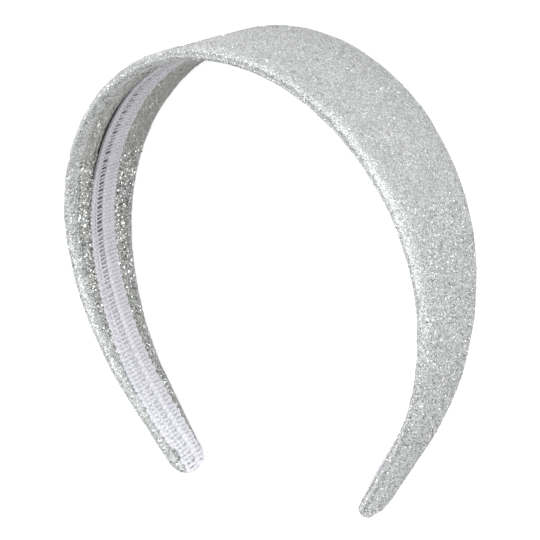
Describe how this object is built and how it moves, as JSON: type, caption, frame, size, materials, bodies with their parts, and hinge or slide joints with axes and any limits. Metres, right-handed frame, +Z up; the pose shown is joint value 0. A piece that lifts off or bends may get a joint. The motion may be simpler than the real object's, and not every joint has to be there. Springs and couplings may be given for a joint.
{
  "type": "glitter headband",
  "caption": "Wide U-shaped hair band covered in silver glitter cloth, broad at the crown and narrow at its rounded tips, with a woven braid tape along its inner face.",
  "frame": {"origin": "middle of the footprint's bounding box, on the surface that the band lies on", "axes": "+Z up, from the rear edge that it lies on to the front edge; +Y from the tips to the crown; +X from ear to ear"},
  "size_m": [0.1338, 0.1404, 0.0396],
  "materials": {
    "glitter_cloth": "silver glitter flakes bonded on cloth",
    "braid_tape": "woven braid of pale lavender yarn"
  },
  "bodies": {
    "root": {"glitter_band": "glitter_cloth", "inner_tape": "braid_tape"}
  },
  "joints": []
}
